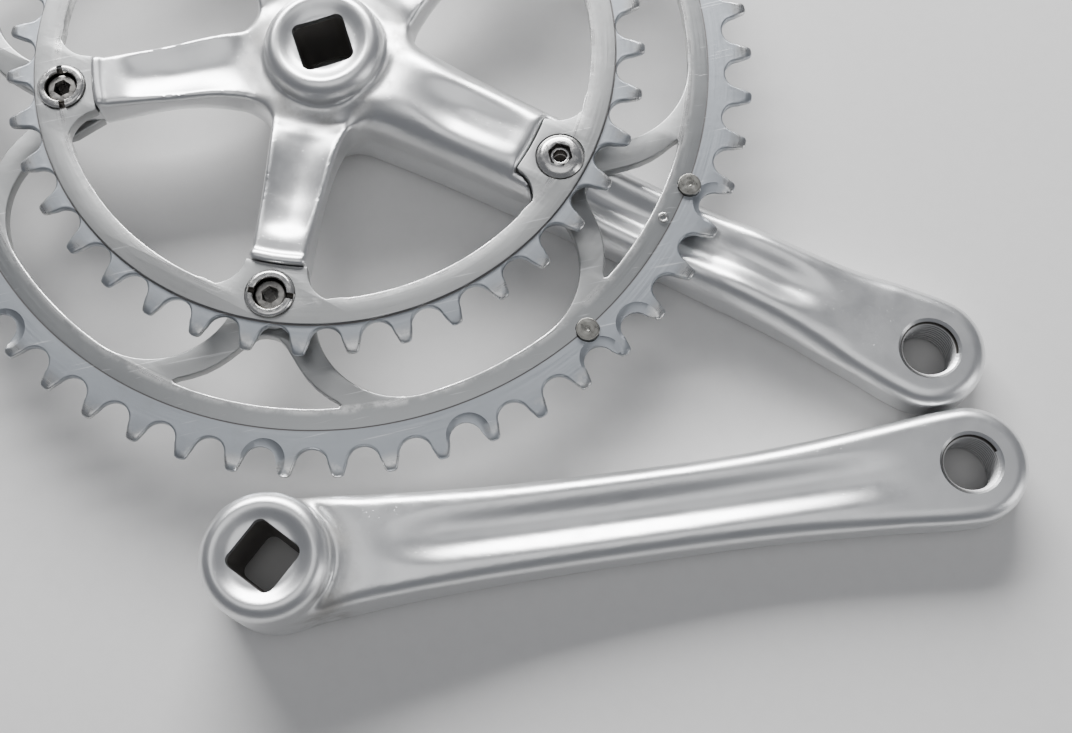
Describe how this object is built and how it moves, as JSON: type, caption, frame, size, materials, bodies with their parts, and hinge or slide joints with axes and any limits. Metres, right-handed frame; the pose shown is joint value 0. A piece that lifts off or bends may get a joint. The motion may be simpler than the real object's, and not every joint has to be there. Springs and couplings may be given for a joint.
{
  "type": "bicycle crankset",
  "caption": "Bicycle crankset: a drive-side crank and spider with large and small toothed chainrings and their bolts, beside the plain left crank arm.",
  "frame": {"origin": "bottom centre of the bounding box of the two halves as they lie on a table, outboard faces down", "axes": "+Z along the spindle axis, towards the bicycle's centre plane (inboard), up as the set lies; +X along the drive-side crank from spindle axis to pedal axis"},
  "size_m": [0.315, 0.2462, 0.031],
  "materials": {
    "forged_alloy": "polished forging, fine buffing lines",
    "ring_alloy": "satin anodised, scratched and worn bright at the tooth tips",
    "plated_steel": "bright nickel plate",
    "spacer_alloy": "turned, plain"
  },
  "bodies": {
    "drive_side": {"drive_crank_arm": "forged_alloy", "inner_chainring": "ring_alloy", "outer_chainring": "ring_alloy", "arm_bolt_spacer": "spacer_alloy", "chain_drop_pin": "plated_steel", "shift_pin_1": "plated_steel", "shift_pin_2": "plated_steel", "shift_pin_3": "plated_steel", "shift_pin_4": "plated_steel", "shift_pin_5": "plated_steel", "shift_pin_6": "plated_steel"},
    "nut_1": {"chainring_nut_1": "plated_steel"},
    "bolt_1": {"chainring_bolt_1": "plated_steel"},
    "nut_2": {"chainring_nut_2": "plated_steel"},
    "bolt_2": {"chainring_bolt_2": "plated_steel"},
    "nut_3": {"chainring_nut_3": "plated_steel"},
    "bolt_3": {"chainring_bolt_3": "plated_steel"},
    "nut_4": {"chainring_nut_4": "plated_steel"},
    "bolt_4": {"chainring_bolt_4": "plated_steel"},
    "arm_bolt": {"arm_chainring_bolt": "plated_steel"},
    "left_crank": {"left_crank_arm": "forged_alloy"}
  },
  "joints": [
    {"name": "nut_1_turn", "type": "hinge", "parent": "drive_side", "child": "nut_1", "pos_m": [-0.02635, 0.077, 0.026], "axis": [0, 0, 1], "range_deg": [0, 1800]},
    {"name": "bolt_1_travel", "type": "slide", "parent": "drive_side", "child": "bolt_1", "axis": [0, 0, -1], "range_m": [0, 0.00375]},
    {"name": "nut_2_turn", "type": "hinge", "parent": "drive_side", "child": "nut_2", "pos_m": [-0.10182, 0.05248, 0.026], "axis": [0, 0, 1], "range_deg": [0, 1800]},
    {"name": "bolt_2_travel", "type": "slide", "parent": "drive_side", "child": "bolt_2", "axis": [0, 0, -1], "range_m": [0, 0.00375]},
    {"name": "nut_3_turn", "type": "hinge", "parent": "drive_side", "child": "nut_3", "pos_m": [-0.10182, -0.02687, 0.026], "axis": [0, 0, 1], "range_deg": [0, 1800]},
    {"name": "bolt_3_travel", "type": "slide", "parent": "drive_side", "child": "bolt_3", "axis": [0, 0, -1], "range_m": [0, 0.00375]},
    {"name": "nut_4_turn", "type": "hinge", "parent": "drive_side", "child": "nut_4", "pos_m": [-0.02635, -0.05139, 0.026], "axis": [0, 0, 1], "range_deg": [0, 1800]},
    {"name": "bolt_4_travel", "type": "slide", "parent": "drive_side", "child": "bolt_4", "axis": [0, 0, -1], "range_m": [0, 0.00375]},
    {"name": "arm_bolt_unscrew", "type": "slide", "parent": "drive_side", "child": "arm_bolt", "axis": [0, 0, 1], "range_m": [0, 0.0225]},
    {"name": "left_crank_lift", "type": "slide", "parent": "drive_side", "child": "left_crank", "axis": [0, 0, 1], "range_m": [0, 0.15]}
  ],
  "couplings": [
    {"joint": "nut_1_turn", "follows": "bolt_1_travel", "rad_per_m": 8377.6},
    {"joint": "nut_2_turn", "follows": "bolt_2_travel", "rad_per_m": 8377.6},
    {"joint": "nut_3_turn", "follows": "bolt_3_travel", "rad_per_m": 8377.6},
    {"joint": "nut_4_turn", "follows": "bolt_4_travel", "rad_per_m": 8377.6}
  ]
}
